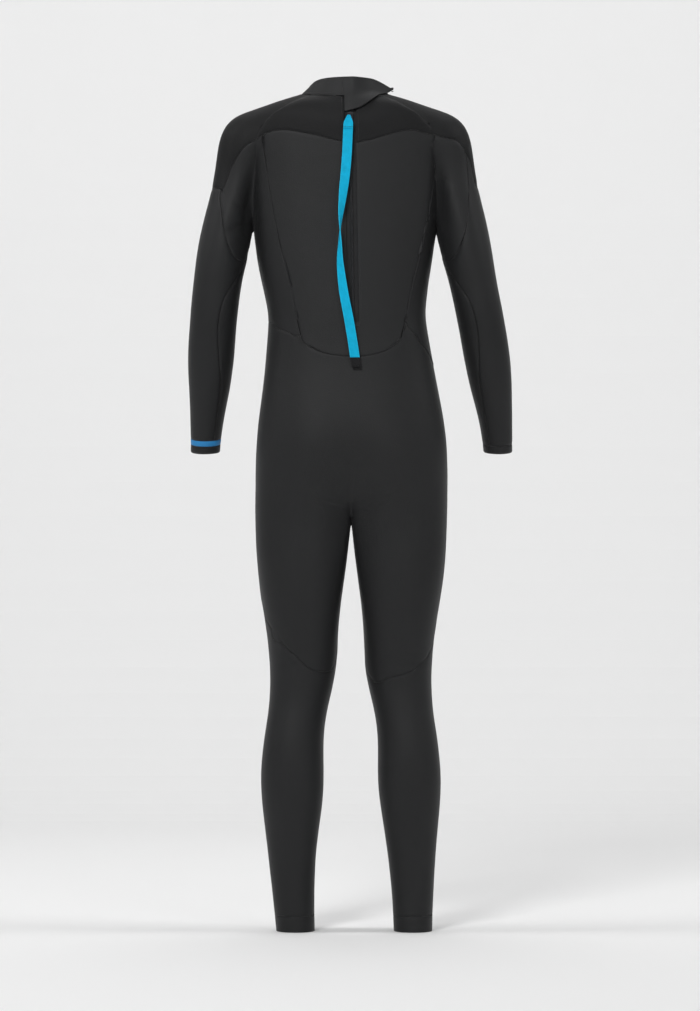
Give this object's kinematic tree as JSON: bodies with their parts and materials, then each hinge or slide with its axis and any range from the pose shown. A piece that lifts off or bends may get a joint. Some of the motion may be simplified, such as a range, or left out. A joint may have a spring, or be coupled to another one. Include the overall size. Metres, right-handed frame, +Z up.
{
  "type": "full wetsuit",
  "caption": "Full-length neoprene wetsuit in its worn shape, with a back zip and webbing pull, a collar closing tab, smooth shoulder yokes, panel seams and ankle hems.",
  "frame": {"origin": "on the floor plane of the ankle hems, midway between the legs, under the middle of the hips", "axes": "+Z up the body to the collar, -Y out of the back with the zip, +Y out of the chest, +X to the wearer's right"},
  "size_m": [0.5701, 0.2332, 1.4798],
  "materials": {
    "neoprene": "matte knit-faced foam rubber",
    "smooth_neoprene": "matte, finely embossed",
    "pull_webbing": "woven polyester webbing",
    "band_blue": "knit tape",
    "webbing_black": "woven tape",
    "zip_plastic": "moulded coil",
    "zip_metal": "dark plated die casting"
  },
  "bodies": {
    "suit": {"ankle_hem_left": "neoprene", "ankle_hem_right": "neoprene", "back_panel": "neoprene", "calf_panel_left": "neoprene", "calf_panel_right": "neoprene", "chest_panel": "neoprene", "collar_band": "neoprene", "cuff_band_left": "band_blue", "cuff_left": "neoprene", "cuff_right": "neoprene", "forearm_left": "neoprene", "forearm_right": "neoprene", "front_panel": "neoprene", "knee_pad_left": "neoprene", "knee_pad_right": "neoprene", "loop_patch": "webbing_black", "seat_panel": "neoprene", "side_panel_left": "neoprene", "side_panel_right": "neoprene", "sleeve_left": "neoprene", "sleeve_right": "neoprene", "yoke_left": "smooth_neoprene", "yoke_right": "smooth_neoprene", "zip_coil_left": "zip_plastic", "zip_coil_right": "zip_plastic", "zip_end_patch": "webbing_black", "zip_guard": "neoprene", "zip_tape_left": "webbing_black", "zip_tape_right": "webbing_black"},
    "slider": {"zip_slider": "zip_metal"},
    "pull": {"pull_tab": "zip_metal", "pull_tape": "pull_webbing", "leash_tag": "webbing_black"},
    "flap": {"collar_flap": "neoprene", "hook_patch": "webbing_black"}
  },
  "joints": [
    {"name": "zip_slide", "type": "slide", "parent": "suit", "child": "slider", "axis": [0.0164, -0.0512, -0.9986], "range_m": [0, 0.335]},
    {"name": "pull_swing", "type": "hinge", "parent": "slider", "child": "pull", "pos_m": [-0.002, -0.0844, 1.4133], "axis": [-1, 0, 0], "range_deg": [0, 120]},
    {"name": "collar_flap_peel", "type": "hinge", "parent": "suit", "child": "flap", "pos_m": [-0.0112, -0.066, 1.4504], "axis": [0, -0.4275, -0.904], "range_deg": [0, 150]}
  ]
}
